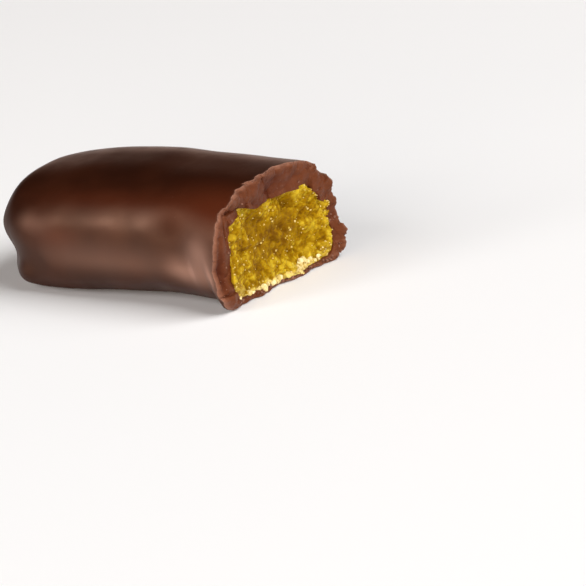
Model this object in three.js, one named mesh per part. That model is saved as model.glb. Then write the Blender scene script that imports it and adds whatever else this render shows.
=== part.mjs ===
// Half of a chocolate-coated stick of crystallised ginger, broken across the middle.
// Millimetres. The broken end faces +X, the near side is -Y and +Z is up. The origin is on the
// surface that the piece lies on, under the middle of its outline.
import * as THREE from 'three';

// ---- the outline: five stations along the stick, and the skin's reach at each of them ----
const stationX = [-15.9, -9.5, -1.6, 8.0, 15.9];
const nearReach = [7.9, 8.6, 9.0, 9.4, 10.2]; // from the axis to the near side
const farReach = [8.0, 8.7, 9.2, 9.3, 8.8]; // from the axis to the far side
const crestHeight = [10.3, 11.5, 12.0, 11.95, 11.65];
const waistHeight = [5.0, 4.8, 4.8, 4.8, 4.4]; // height of the widest line

// How square each corner of a section is: 2 is an ellipse, more is boxier.
const nearTopSquareness = 2.63;
const farBottomSquareness = 3.9;
const nearBottomSquareness = [3.1, 4.0, 2.9, 2.5, 2.6];
const farTopSquareness = [2.7, 2.7, 2.7, 2.6, 2.35];

const axisY = 0.27; // the axis runs a little to the far side of the middle
const bellyDepth = 0.35; // the round belly would reach this far under the surface: it is flat there


// The closed end: how far back from the tip each side is rounded, and how full that rounding is.
const nearRounding = { length: 6.0, fullness: 2.44 };
const farRounding = { length: 7.7, fullness: 2.08 };
const topRounding = { length: 3.8, fullness: 2.37 };
const bottomRounding = { length: 2.8, fullness: 2.58 };

// The closed end's near corner: a full brow over a pinch. Depth is how far the skin is pushed in.
const endForms = [
  { x: -15.5, y: -4.8, z: 6.4, reachAlong: 5.0, reachUp: 1.8, depth: -0.4 },
  { x: -15.1, y: -4.8, z: 3.7, reachAlong: 5.0, reachUp: 1.6, depth: 0.6 },
];

// Broad, low waves in the coat.
const wave = { along: 5.2, columns: 6, share: 0.022, seed: 11 }; // share of the reach

// The coat's foot flares out where it broke.
const foot = { x: 13.0, length: 1.2, squareness: 1.9, reach: 0.25 };

// ---- the break ----
const breakX = 13.8;
const breakSlant = 0.165; // the far side stands further out
const breakLean = 0.015; // the top lies further back
const breakBow = 0.0096;
const breakMidZ = 5.0;
const coarseFacets = { cell: 2.3, height: 0.34, seed: 3 };
const fineFacets = { cell: 0.9, height: 0.07, seed: 5 };

// Places on the coat's broken edge, by their angle round the section from the far side over the
// top, where a chip is missing (below zero) or a flake stands out.
const rimChips = [
  { angle: 28, width: 5, depth: 0.3 },
  { angle: 42, width: 14, depth: -0.6 },
  { angle: 118, width: 12, depth: -0.3 },
  { angle: 152, width: 9, depth: 0.2 },
  { angle: 262, width: 34, depth: -0.35 },
  { angle: 322, width: 10, depth: 0.3 },
  { angle: 340, width: 8, depth: 0.4 },
];

// ---- the ginger in its coat ----
const coatThickness = { near: 2.65, far: 1.35, top: 2.95, end: 2.3 };
const coatFloor = 0.45; // the coat is thin under the ginger
const gingerSquareness = { nearTop: 4.5, farTop: 2.7, farBottom: 4.2, nearBottom: 3.0 };
const gingerAxisZ = 4.9;
const gingerRounding = { length: 5.0, fullness: 2.3 };
const fit = 0.3; // gap between the ginger and the coat
const gingerHollow = 0.45; // the broken ginger dips in the middle
const gingerLip = 0.12; // and stands a little proud of the coat at its edge
const coarseGrain = { cell: 1.7, height: 0.4, seed: 21 };
const fineGrain = { cell: 0.75, height: 0.16, seed: 22 };

// ---- how finely the surfaces are divided ----
const sides = 80; // round every ring: a multiple of eight
const capLength = 3.4; // of the closed end, under the square grid
const capGrowth = 2.4; // spaces the grid's loops evenly over the rounding
const skinRings = 19;
const bandRings = 4; // across the coat's broken face
const boreRings = 6;
const gingerRings = 8;
const rimSearches = 6; // tries at finding where the skin meets the break

const chocolate = new THREE.MeshStandardMaterial({ color: 0x55291b, roughness: 0.4, metalness: 0 });
const ginger = new THREE.MeshStandardMaterial({ color: 0xb5821f, roughness: 0.55, metalness: 0 });

const fullTurn = 2 * Math.PI;
const degree = Math.PI / 180;

// ---- curves and noise ----

// A smooth curve through one value for each station.
function guide(values, x) {
  const last = stationX.length - 1;
  const at = Math.min(Math.max(x, stationX[0]), stationX[last]);
  let i = 0;
  while (i < last - 1 && at > stationX[i + 1]) {
    i += 1;
  }
  const slope = (k) => {
    const before = Math.max(k - 1, 0);
    const after = Math.min(k + 1, last);
    return (values[after] - values[before]) / (stationX[after] - stationX[before]);
  };
  const step = stationX[i + 1] - stationX[i];
  const t = (at - stationX[i]) / step;
  const rise = t * t * (3 - 2 * t);
  const swing = t * (1 - t);
  const bend = swing * ((1 - t) * slope(i) - t * slope(i + 1)) * step;
  return values[i] * (1 - rise) + values[i + 1] * rise + bend;
}

// Shares from 0 to 1 that lie closer together towards 1.
function evenedOut(t) {
  return t + (t * (1 - t)) / 2;
}

function easedStep(t) {
  const s = Math.min(Math.max(t, 0), 1);
  return s * s * (3 - 2 * s);
}

// A repeatable random number from -1 to 1 for a point of a grid.
function chance(i, j, seed) {
  let h = Math.imul(i, 374761393) + Math.imul(j, 668265263) + Math.imul(seed, 1274126177);
  h = Math.imul(h ^ (h >>> 13), 1103515245);
  h = Math.imul(h ^ (h >>> 15), 2654435769);
  return ((h ^ (h >>> 16)) >>> 0) / 2147483648 - 1;
}

// A sheet of flat facets: each grid square is two triangles between random heights.
function facets(a, b, { cell, height, seed }) {
  const i = Math.floor(a / cell);
  const j = Math.floor(b / cell);
  const s = a / cell - i;
  const t = b / cell - j;
  const right = chance(i + 1, j, seed);
  const above = chance(i, j + 1, seed);
  if (s + t < 1) {
    return height * ((1 - s - t) * chance(i, j, seed) + s * right + t * above);
  }
  return height * ((s + t - 1) * chance(i + 1, j + 1, seed) + (1 - t) * right + (1 - s) * above);
}

// A smooth rolling surface over a grid of random heights, which closes on itself in b.
function rolling(a, b, { columns, seed }) {
  const i = Math.floor(a);
  const j = Math.floor(b);
  const s = easedStep(a - i);
  const t = easedStep(b - j);
  const here = j % columns;
  const next = (j + 1) % columns;
  const low = chance(i, here, seed) * (1 - s) + chance(i + 1, here, seed) * s;
  const high = chance(i, next, seed) * (1 - s) + chance(i + 1, next, seed) * s;
  return low * (1 - t) + high * t;
}

// How much of a section's full reach is left near the closed end's tip.
function rounding(x, tipX, { length, fullness }) {
  const t = Math.min(Math.max((x - tipX) / length, 0), 1);
  return Math.max(1 - (1 - t) ** fullness, 0) ** (1 / fullness);
}

// A point of a rounded box outline. Its reach and squareness change from quarter to quarter.
function corner(angle, reach, squareness) {
  const c = Math.cos(angle);
  const s = Math.sin(angle);
  const across = c < 0 ? reach.near : reach.far;
  const upright = s < 0 ? reach.down : reach.up;
  const side = c < 0 ? 'near' : 'far';
  const n = squareness[side + (s < 0 ? 'Bottom' : 'Top')];
  const scale = (Math.abs(c) ** n + Math.abs(s) ** n) ** (-1 / n);
  return [across * scale * c, upright * scale * s];
}

// ---- the coat's skin ----

function endPush(x, y, z) {
  let push = 0;
  for (const form of endForms) {
    const along = (x - form.x) / form.reachAlong;
    const beside = (y - form.y) / form.reachAlong;
    const up = (z - form.z) / form.reachUp;
    push += form.depth * Math.exp(-along * along - beside * beside - up * up);
  }
  return push;
}

// Angles run from the far side over the top, the near side and the bottom.
function skinPoint(x, angle) {
  const tipX = stationX[0];
  const waist = guide(waistHeight, x);
  const flare = easedStep((x - foot.x + foot.length) / foot.length);
  const reach = {
    near: guide(nearReach, x) * rounding(x, tipX, nearRounding),
    far: guide(farReach, x) * rounding(x, tipX, farRounding),
    up: (guide(crestHeight, x) - waist) * rounding(x, tipX, topRounding),
    down: (waist + bellyDepth) * rounding(x, tipX, bottomRounding),
  };
  const squareness = {
    nearTop: nearTopSquareness,
    farTop: guide(farTopSquareness, x),
    farBottom: farBottomSquareness,
    nearBottom: guide(nearBottomSquareness, x) + foot.squareness * flare,
  };
  const [across, rise] = corner(angle, reach, squareness);
  const full = easedStep((x - tipX) / nearRounding.length);
  const around = (angle / fullTurn) * wave.columns;
  const swell = 1 + full * wave.share * rolling(x / wave.along, around, wave);
  const toe = Math.max(-Math.cos(angle), 0) * Math.max(-Math.sin(angle), 0);
  const y = axisY + across * swell - foot.reach * flare * toe;
  const z = Math.max(waist + rise * swell, 0);
  const push = endPush(x, y, z);
  return new THREE.Vector3(x + push, y + push / 2, z);
}

// ---- the broken surface ----

function breakSheet(y, z) {
  const off = y - axisY;
  const plane = breakX + breakSlant * off - breakLean * (z - breakMidZ) + breakBow * off * off;
  return plane + facets(y, z, coarseFacets);
}

function rimChip(angle) {
  let depth = 0;
  for (const chip of rimChips) {
    const turn = angle / degree - chip.angle;
    const nearest = turn - 360 * Math.round(turn / 360);
    depth += chip.depth * Math.max(1 - Math.abs(nearest) / chip.width, 0);
  }
  return depth;
}

// Where the skin ends at this angle: it is followed until it meets the broken surface.
function rimStation(angle) {
  let x = breakX;
  for (let i = 0; i < rimSearches; i += 1) {
    const p = skinPoint(x, angle);
    x = breakSheet(p.y, p.z) + rimChip(angle);
  }
  return x;
}

// ---- the ginger's own outline, which the coat's bore follows ----

function gingerPoint(x, angle, tipX, gap) {
  const end = rounding(x, tipX, gingerRounding);
  const reach = {
    near: (guide(nearReach, x) - coatThickness.near - gap) * end,
    far: (guide(farReach, x) - coatThickness.far - gap) * end,
    up: (guide(crestHeight, x) - coatThickness.top - gap - gingerAxisZ) * end,
    down: (gingerAxisZ - coatFloor - gap) * end,
  };
  const [across, rise] = corner(angle, reach, gingerSquareness);
  return new THREE.Vector3(x, axisY + across, gingerAxisZ + rise);
}

function borePoint(x, angle) {
  return gingerPoint(x, angle, stationX[0] + coatThickness.end, 0);
}

function boreMouth(angle) {
  const flat = borePoint(breakX, angle);
  return borePoint(breakSheet(flat.y, flat.z) + facets(flat.y, flat.z, fineFacets), angle);
}

// ---- closed meshes ----

function ring(pointAt) {
  return Array.from({ length: sides }, (_, k) => pointAt((k / sides) * fullTurn));
}

// The two triangles of every cell between neighbouring rings.
function ringBand(rings) {
  const triangles = [];
  for (let r = 0; r + 1 < rings.length; r += 1) {
    for (let k = 0; k < sides; k += 1) {
      const a = r * sides + k;
      const b = r * sides + ((k + 1) % sides);
      triangles.push(a, b, a + sides);
      triangles.push(b, b + sides, a + sides);
    }
  }
  return triangles;
}

// How many steps a grid point lies round its own square loop, from the middle of the far edge.
function stepsRound(i, j, loop) {
  if (i === loop && Math.abs(j) < loop) {
    return j < 0 ? 8 * loop + j : j;
  }
  if (j === loop) {
    return 2 * loop - i;
  }
  return i === -loop ? 4 * loop - j : 6 * loop + i;
}

// Closes a ring with a square grid that is pulled out to the ring's shape. The grid's outermost
// square loop is the ring itself, and pointAt places the loops inside it.
function squareCap(points, ringStart, facesOut, pointAt) {
  const half = sides / 8;
  const known = new Map();
  const vertex = (i, j) => {
    const loop = Math.max(Math.abs(i), Math.abs(j));
    const steps = loop === 0 ? 0 : stepsRound(i, j, loop);
    if (loop === half) {
      return ringStart + steps;
    }
    const key = `${i} ${j}`;
    if (!known.has(key)) {
      known.set(key, points.length);
      points.push(pointAt((steps / (8 * Math.max(loop, 1))) * fullTurn, loop / half));
    }
    return known.get(key);
  };
  const triangles = [];
  for (let i = -half; i < half; i += 1) {
    for (let j = -half; j < half; j += 1) {
      const a = vertex(i, j);
      const b = vertex(i + 1, j);
      const c = vertex(i + 1, j + 1);
      const d = vertex(i, j + 1);
      triangles.push(...(facesOut ? [a, b, c, a, c, d] : [a, c, b, a, d, c]));
    }
  }
  return triangles;
}

// A closed body: a cap, the bands between the rings and another cap.
function body(rings, startCap, endCap) {
  const points = rings.flat();
  const triangles = ringBand(rings);
  const lastRing = points.length - sides;
  triangles.push(...squareCap(points, 0, false, startCap));
  triangles.push(...squareCap(points, lastRing, true, endCap));
  const geometry = new THREE.BufferGeometry();
  geometry.setFromPoints(points);
  geometry.setIndex(triangles);
  geometry.computeVertexNormals();
  return geometry;
}

// ---- the two pieces ----

function coatGeometry() {
  const tipX = stationX[0];
  const boreTipX = tipX + coatThickness.end;
  const boreShoulder = boreTipX + gingerRounding.length;
  const capPoint = (angle, share) => skinPoint(tipX + capLength * share ** capGrowth, angle);
  const borePole = (angle, share) => (
    borePoint(boreTipX + gingerRounding.length * share ** gingerRounding.fullness, angle)
  );
  const rings = [ring((angle) => capPoint(angle, 1))];
  for (let r = 1; r <= skinRings; r += 1) {
    const share = evenedOut(r / skinRings);
    const from = tipX + capLength;
    rings.push(ring((angle) => {
      const rim = rimStation(angle);
      return skinPoint(from + (rim - from) * share, angle);
    }));
  }
  for (let r = 1; r < bandRings; r += 1) {
    const share = r / bandRings;
    rings.push(ring((angle) => {
      const p = skinPoint(rimStation(angle), angle).lerp(boreMouth(angle), share);
      p.x = breakSheet(p.y, p.z) + facets(p.y, p.z, fineFacets) + rimChip(angle) * (1 - share);
      return p;
    }));
  }
  rings.push(ring(boreMouth));
  for (let r = 1; r <= boreRings; r += 1) {
    rings.push(ring((angle) => {
      const mouthX = boreMouth(angle).x;
      return borePoint(mouthX + (boreShoulder - mouthX) * (r / boreRings), angle);
    }));
  }
  return body(rings, capPoint, borePole);
}

function gingerGeometry() {
  const tipX = stationX[0] + coatThickness.end + fit;
  const shoulder = tipX + gingerRounding.length;
  const side = (x, angle) => gingerPoint(x, angle, tipX, fit);
  const pole = (angle, share) => (
    side(tipX + gingerRounding.length * share ** gingerRounding.fullness, angle)
  );
  const face = (angle, share) => {
    const p = side(breakX, angle);
    const y = axisY + (p.y - axisY) * share;
    const z = gingerAxisZ + (p.z - gingerAxisZ) * share;
    const grain = facets(y, z, coarseGrain) + facets(y, z, fineGrain);
    const dish = gingerLip - (gingerHollow + gingerLip) * (1 - share * share);
    return new THREE.Vector3(breakSheet(y, z) + dish + grain, y, z);
  };
  const rings = [];
  for (let r = 0; r <= gingerRings; r += 1) {
    rings.push(ring((angle) => {
      const edge = face(angle, 1);
      return side(shoulder + (edge.x - shoulder) * (r / gingerRings), angle);
    }));
  }
  return body(rings, pole, face);
}

function mesh(name, geometry, material) {
  const piece = new THREE.Mesh(geometry, material);
  piece.name = name;
  return piece;
}

const gingerStick = new THREE.Group();
gingerStick.add(mesh('chocolate_coat', coatGeometry(), chocolate));
gingerStick.add(mesh('ginger_core', gingerGeometry(), ginger));

export default gingerStick;
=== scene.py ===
import math

import bmesh
import bpy
import numpy as np
from mathutils import Matrix, Vector


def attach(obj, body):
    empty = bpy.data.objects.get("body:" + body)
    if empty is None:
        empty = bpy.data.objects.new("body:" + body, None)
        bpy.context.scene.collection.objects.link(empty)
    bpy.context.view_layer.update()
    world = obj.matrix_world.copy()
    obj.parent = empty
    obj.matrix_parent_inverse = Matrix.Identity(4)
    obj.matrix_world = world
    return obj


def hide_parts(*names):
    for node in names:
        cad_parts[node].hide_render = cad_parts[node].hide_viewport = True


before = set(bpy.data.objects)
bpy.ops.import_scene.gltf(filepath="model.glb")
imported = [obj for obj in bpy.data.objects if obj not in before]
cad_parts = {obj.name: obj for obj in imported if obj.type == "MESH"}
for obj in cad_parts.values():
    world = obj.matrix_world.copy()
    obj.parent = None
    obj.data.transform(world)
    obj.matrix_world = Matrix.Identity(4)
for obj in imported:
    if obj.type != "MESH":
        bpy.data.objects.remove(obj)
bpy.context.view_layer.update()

milli = 0.001
fullTurn = 2 * math.pi
degree = math.pi / 180


# Curves and noise, for single numbers or whole arrays of them.

def easedStep(t):
    s = np.clip(t, 0, 1)
    return s * s * (3 - 2 * s)


def hill(t):  # 1 at the middle, 0 from one step away
    return easedStep(1 - np.abs(t))


# Large odd numbers that stir a grid point's numbers into chance ones.
stirring = {"i": 374761393, "j": 668265263, "seed": 1274126177, "first": 1103515245, "second": 2654435769}


def chance(i, j, seed):  # a repeatable random number from -1 to 1 for a point of a grid
    low = 0xFFFFFFFF  # 32 bits are kept
    i, j = np.asarray(i).astype(np.int64), np.asarray(j).astype(np.int64)
    h = (i * stirring["i"] + j * stirring["j"] + seed * stirring["seed"]) & low
    h = ((h ^ (h >> 13)) * stirring["first"]) & low
    h = ((h ^ (h >> 15)) * stirring["second"]) & low
    return (h ^ (h >> 16)) / 2 ** 31 - 1


def facets(a, b, look):  # a sheet of flat facets between random heights
    i, j = np.floor(a / look["cell"]), np.floor(b / look["cell"])
    s, t = a / look["cell"] - i, b / look["cell"] - j
    seed = look["seed"]
    here, beyond = chance(i, j, seed), chance(i + 1, j + 1, seed)
    right, above = chance(i + 1, j, seed), chance(i, j + 1, seed)
    lower = (1 - s - t) * here + s * right + t * above
    upper = (s + t - 1) * beyond + (1 - t) * right + (1 - s) * above
    return look["height"] * np.where(s + t < 1, lower, upper)


def rolling(a, b, columns, seed):  # smooth hills that close on themselves in b
    i, j = np.floor(a), np.floor(b)
    s, t = easedStep(a - i), easedStep(b - j)
    here, after = j % columns, (j + 1) % columns
    low = chance(i, here, seed) * (1 - s) + chance(i + 1, here, seed) * s
    high = chance(i, after, seed) * (1 - s) + chance(i + 1, after, seed) * s
    return low * (1 - t) + high * t


def waves(a, angle, look):  # such hills along a and round the section
    around = angle / fullTurn % 1 * look["columns"]
    return look["height"] * rolling(a, around, look["columns"], look["seed"])


def lumps(a, b, look):  # domed lumps with creases between them: their height and tone
    cell, seed, jitter = look["cell"], look["seed"], 0.42
    i0, j0 = np.floor(a / cell), np.floor(b / cell)
    height = np.full(np.shape(a), -np.inf)
    tone = np.zeros(np.shape(a))
    for di in (-1, 0, 1):
        for dj in (-1, 0, 1):
            i, j = i0 + di, j0 + dj
            across = a / cell - i - 0.5 - jitter * chance(i, j, seed)
            along = b / cell - j - 0.5 - jitter * chance(i, j, seed + 1)
            slope = across * chance(i, j, seed + 2) + along * chance(i, j, seed + 3)
            rise = look["height"] * chance(i, j, seed + 4) + look["tilt"] * slope
            rise = rise - look["dome"] * (across ** 2 + along ** 2)
            wins = rise > height
            tone = np.where(wins, chance(i, j, seed + 5), tone)
            height = np.where(wins, rise, height)
    return height, tone


def nearAngle(angle, middle, width):  # 1 at one angle of the section, 0 from a width away
    return hill((angle / degree % 360 - middle) / width)


def bumpsRound(angle, bumps):  # dents and swells, each by its angle, width and depth
    total = np.zeros(np.shape(angle))
    for middle, width, depth in bumps:
        turn = angle / degree - middle
        nearest = turn - 360 * np.round(turn / 360)
        total = total + depth * np.maximum(1 - np.abs(nearest) / width, 0)
    return total


# The chocolate shell: its outline at five stations, its rounded end and its broken edge.
shell = {
    "stations": [-15.9, -9.5, -1.6, 8.0, 15.9],
    "nearReach": [7.9, 8.6, 9.0, 9.4, 10.2],
    "farReach": [8.0, 8.7, 9.2, 9.3, 8.8],
    "crestHeight": [10.3, 11.5, 12.0, 11.95, 11.65],
    "waistHeight": [5.0, 4.8, 4.8, 4.8, 4.4],
    "nearTopSquareness": 2.63,
    "farBottomSquareness": 3.9,
    "nearBottomSquareness": [3.1, 4.0, 2.9, 2.5, 2.6],
    "farTopSquareness": [2.7, 2.7, 2.7, 2.6, 2.35],
    "axisY": 0.27,
    "bellyDepth": 0.35,
    "nearRounding": (6.0, 2.44),  # how far back from the tip it reaches, and how full it is
    "farRounding": (7.7, 2.08),
    "topRounding": (3.8, 2.37),
    "bottomRounding": (2.8, 2.58),
    "endForms": [  # x, y, z, reach along, reach up, depth
        (-15.5, -4.8, 6.4, 5.0, 1.8, -0.4),
        (-15.1, -4.8, 3.7, 5.0, 1.6, 0.6),
    ],
    "wave": {"along": 5.2, "columns": 6, "height": 0.022, "seed": 11},
    "footX": 13.0,
    "footLength": 1.2,
    "footSquareness": 1.9,
    "footReach": 0.25,
    "folds": [  # x, angle, reach along, reach round, height, lean: soft dents and swells of the skin
        (-4.2, 158, 2.2, 30, -0.08, 0), (2.4, 152, 1.5, 26, -0.05, 0), (8.0, 128, 5.0, 20, 0.30, 0),
        (-5.6, 180, 1.2, 34, -0.05, 0), (8.9, 174, 2.2, 32, -0.36, 0), (9.5, 187, 0.4, 13, -0.08, 0.02),
        (11.6, 191, 0.45, 18, -0.10, 0.026), (4.4, 214, 2.2, 12, -0.12, 0),
        (-11.6, 209, 1.2, 12, 0.42, 0), (13.2, 213, 1.2, 10, -0.20, 0),
    ],
    # patches of the skin: x, angle, reach along, reach round, strength, lean; ruddy and bloom are painted
    # light in the skin's colour
    # ruddy: painted light, a redder and lighter band where the diffuse light and the tail of the highlight
    # fall
    "paintedRedLight": [(13.5, 134, 5.5, 20, 1.0, 0), (1.0, 138, 9.0, 9, 0.5, 0), (-6.0, 166, 2.5, 9, 0.5, 0)],
    # bloom: painted highlights and painted reflections of the lamps and the bright table on the skin, and a
    # painted shade at the rounded end where the strength is below 0
    "paintedLight": [
        (11.0, 166, 1.5, 13, 0.62, 0), (11.4, 188, 2.2, 15, 0.51, 0), (7.8, 184, 1.2, 10, 0.25, 0),
        (9.8, 186, 0.28, 9, 0.45, 0.02), (12.2, 187, 0.3, 12, 0.60, 0.026), (9.0, 189, 1.5, 12, 0.48, 0),
        (0.0, 183, 9.5, 14, 0.30, 0), (-12.5, 195, 3.5, 30, -0.35, 0),
        (-9.4, 157, 2.2, 8, 0.32, 0), (-0.1, 152, 2.4, 7, 0.15, 0), (4.7, 148, 1.8, 7, 0.20, 0),
    ],
    "smooth": [(-9.4, 157, 2.2, 10, 1.0, 0), (-0.1, 152, 1.8, 10, 1.0, 0), (5.0, 148, 1.8, 10, 1.0, 0)],
    "dull": [(-15.2, 190, 2.2, 45, 1.0, 0), (7.4, 151, 1.9, 9, 0.7, 0)],
    "foot": 2.2,  # the skin is dull below this height
    "ripple": {"along": 2.1, "columns": 18, "height": 0.008, "seed": 31},
    # the broken surface
    "breakX": 13.8,
    "breakSlant": 0.165,
    "breakLean": 0.015,
    "breakBow": 0.0096,
    "breakMidZ": 5.0,
    "coarseFacets": {"cell": 2.3, "height": 0.34, "seed": 3},
    "fineFacets": {"cell": 0.9, "height": 0.10, "seed": 5},
    "flakes": {"cell": 1.9, "height": 0.12, "tilt": 0.75, "dome": 0.30, "seed": 41},
    "chips": {"cell": 0.7, "height": 0.06, "tilt": 0.20, "dome": 0.10, "seed": 45},
    "crumb": {"cell": 0.26, "height": 0.012, "tilt": 0.02, "dome": 0.02, "seed": 51},
    "rimChips": [  # angle, width, depth
        (28, 5, 0.3), (42, 14, -0.6), (118, 12, -0.3), (168, 26, -0.4),
        (205, 32, -0.9), (262, 34, -0.35), (322, 10, 0.3), (340, 8, 0.4),
    ],
    "rimSteps": [  # angle, width, height of the sharp steps where flakes came off
        (14, 9, 0.3), (35, 12, 0.6), (50, 9, 0.35), (74, 9, 0.2),
        (99, 10, 0.3), (133, 8, 0.25), (346, 9, 0.3),
    ],
    "rimNicks": [(64, 0.16, 61), (170, 0.09, 62)],  # number, depth, seed
    "bevelWidth": 0.35,
    "bevelDepth": 0.26,
    "reliefFade": 8,  # the relief comes in over one part in so many of the band
    "chipFade": 2.2,
    "grooveAngles": (180, 52),  # middle and width of the near side's groove
    "grooveShare": 0.29,
    "grooveWidth": 0.18,
    "grooveDepth": 0.36,
    "grooveShade": 2.0,
    "shadeAngles": (98, 48),  # middle and width of the painted shade on the break over the ginger
    "shadeFade": 3,
    "shade": 1.8,
    "calm": (180, 50, 0.6),  # middle, width and share of the calmer stretch of the break
    "chipTurn": 0.4,  # the chips' grid is turned against the flakes' grid
    "flakeRidge": (0.15, 0.3),  # level and spread of the heights that paint light on the break's raised flakes and shade in its hollows
    "chipRidge": (0.03, 0.12),
    "paintedRimLight": (0.6, 0.5),  # strength and width of the painted light just inside the rim
    "edgeWearAndSheen": 0.16,  # width of the paler edge, on the break and on the skin, which is partly wear and partly a painted edge highlight
    "skinWearAndSheen": 0.22,
    # how finely it is divided
    "skinSides": 320,
    "rimSides": 640,
    "boreSides": 160,
    "capLength": 3.4,
    "capGrowth": 2.4,
    "skinRings": 72,
    "rimLength": 1.5,
    "rimSpacing": 1.6,
    "rimRings": 16,
    "bandRings": 30,
    "boreRings": 6,
    "rimSearches": 6,
    "sharpAngle": 38,
}

# The ginger in it. The shell's bore follows the same outline.
core = {
    "nearCoat": 2.65,  # thickness of the chocolate on each side
    "farCoat": 1.35,
    "topCoat": 2.95,
    "endCoat": 2.3,
    "floorCoat": 0.45,
    "thinFloor": 0.6,  # the dents at the bottom may leave this share of the floor's coat
    "axisZ": 4.9,
    "squareness": {"nearTop": 4.5, "farTop": 2.7, "farBottom": 4.2, "nearBottom": 3.0},
    "rounding": (5.0, 2.3),
    "notches": [  # angle, width, depth of the dents and swells in its outline
        (20, 6, -0.3), (27, 10, -0.9), (37, 8, -0.6), (46, 8, -0.4), (58, 7, 0.3), (110, 8, -0.2),
        (121, 8, 1.0), (136, 9, 0.75), (149, 14, 0.6), (160, 12, 0.3), (180, 12, 0.25),
        (208, 22, 1.0), (222, 14, 0.7), (275, 25, 0.2), (312, 18, 0.5), (350, 14, -0.25),
    ],
    "notchStart": 8.0,  # they begin at this x and are full this much farther on
    "notchLength": 4.0,
    "frayed": {"columns": 70, "height": 0.16, "inwards": 3, "fade": 4, "seed": 71},
    "hollow": 0.45,
    "lip": 0.12,
    "coarseGrain": {"cell": 1.7, "height": 0.4, "seed": 21},
    "fineGrain": {"cell": 0.75, "height": 0.16, "seed": 22},
    "clods": {"cell": 1.0, "height": 0.14, "tilt": 0.24, "dome": 0.18, "seed": 81},
    "grains": {"cell": 0.43, "height": 0.10, "tilt": 0.16, "dome": 0.13, "seed": 91},
    "sparks": {"cell": 0.19, "height": 0.055, "tilt": 0.10, "dome": 0.05, "seed": 101},
    "calmMiddle": (0.35, 0.2, 0.6),  # share of height left to the grains, how far out, and its fade
    "tones": (0.15, 0.35, 0.5),  # shares of the clods, the grains and the sparks
    "standing": (0.05, 0.25),  # level and spread of the heights that paint light on the lumps' tops and shade in the creases
    "crust": {"angles": (262, 66), "start": 0.82, "fade": 0.14, "fray": 0.06, "cover": 0.5, "gaps": 1.2},
    "paintedFaceLight": {"angle": 328, "level": 0.84, "swing": 0.16},  # painted light: it is lighter towards its rim, most towards this side, where light comes from below
    "paintedLightCorners": [(128, 26, 0.30), (283, 48, 0.16)],  # and painted lighter round these: angle, width, strength
    "overlap": 0.06,  # it reaches this far into the chocolate
    "sides": 800,
    "hiddenSides": 200,
    "edgeLength": 1.2,
    "edgeRings": 6,
    "sideRings": 8,
    "sharpAngle": 50,
}

shellTip = shell["stations"][0]
coreTip = shellTip + core["endCoat"]


def guide(values, x):  # a smooth curve through one value for each station
    stations, values = np.array(shell["stations"]), np.array(values)
    last = len(stations) - 1
    at = np.clip(x, stations[0], stations[last])
    i = np.clip(np.searchsorted(stations, at) - 1, 0, last - 1)
    before, after = np.maximum(np.arange(last + 1) - 1, 0), np.minimum(np.arange(last + 1) + 1, last)
    slope = (values[after] - values[before]) / (stations[after] - stations[before])
    step = stations[i + 1] - stations[i]
    t = (at - stations[i]) / step
    rise, swing = t * t * (3 - 2 * t), t * (1 - t)
    bend = swing * ((1 - t) * slope[i] - t * slope[i + 1]) * step
    return values[i] * (1 - rise) + values[i + 1] * rise + bend


def rounding(x, tip, shape):  # from 0 at the tip to 1 where the rounded end stops
    length, fullness = shape
    t = np.clip((x - tip) / length, 0, 1)
    return np.maximum(1 - (1 - t) ** fullness, 0) ** (1 / fullness)


def corner(angle, reach, squareness):  # a point of a rounded box outline
    c, s = np.cos(angle), np.sin(angle)
    near, low = c < 0, s < 0
    n = np.where(near,
                 np.where(low, squareness["nearBottom"], squareness["nearTop"]),
                 np.where(low, squareness["farBottom"], squareness["farTop"]))
    scale = (np.abs(c) ** n + np.abs(s) ** n) ** (-1 / n)
    across = np.where(near, reach["near"], reach["far"]) * scale * c
    rise = np.where(low, reach["down"], reach["up"]) * scale * s
    return across, rise


def plainSkin(x, angle):  # angles run from the far side over the top, the near side and the bottom
    waist = guide(shell["waistHeight"], x)
    flare = easedStep((x - shell["footX"] + shell["footLength"]) / shell["footLength"])
    reach = {
        "near": guide(shell["nearReach"], x) * rounding(x, shellTip, shell["nearRounding"]),
        "far": guide(shell["farReach"], x) * rounding(x, shellTip, shell["farRounding"]),
        "up": (guide(shell["crestHeight"], x) - waist) * rounding(x, shellTip, shell["topRounding"]),
        "down": (waist + shell["bellyDepth"]) * rounding(x, shellTip, shell["bottomRounding"]),
    }
    squareness = {
        "nearTop": shell["nearTopSquareness"],
        "farTop": guide(shell["farTopSquareness"], x),
        "farBottom": shell["farBottomSquareness"],
        "nearBottom": guide(shell["nearBottomSquareness"], x) + shell["footSquareness"] * flare,
    }
    across, rise = corner(angle, reach, squareness)
    full = easedStep((x - shellTip) / shell["nearRounding"][0])
    swell = 1 + full * waves(x / shell["wave"]["along"], angle, shell["wave"])
    toe = np.maximum(-np.cos(angle), 0) * np.maximum(-np.sin(angle), 0)
    y = shell["axisY"] + across * swell - shell["footReach"] * flare * toe
    z = np.maximum(waist + rise * swell, 0)
    push = 0
    for formX, formY, formZ, along, up, depth in shell["endForms"]:
        spread = ((x - formX) / along) ** 2 + ((y - formY) / along) ** 2 + ((z - formZ) / up) ** 2
        push = push + depth * np.exp(-spread)
    return np.stack([x + push, y + push / 2, z], -1)  # the end's forms lean half as far sideways


# One of the dents, swells or coloured patches of the skin.
def softPatch(x, angle, middle, middleAngle, along, around, strength, lean):
    turn = angle / degree % 360 - middleAngle
    return strength * np.exp(-((x - middle - lean * turn) / along) ** 2 - (turn / around) ** 2)


def skinRelief(x, angle):  # what stands out from the plain skin or dips into it
    relief = waves(x / shell["ripple"]["along"], angle, shell["ripple"])
    for fold in shell["folds"]:
        relief = relief + softPatch(x, angle, *fold)
    return relief * easedStep((x - shellTip) / shell["capLength"])


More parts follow.
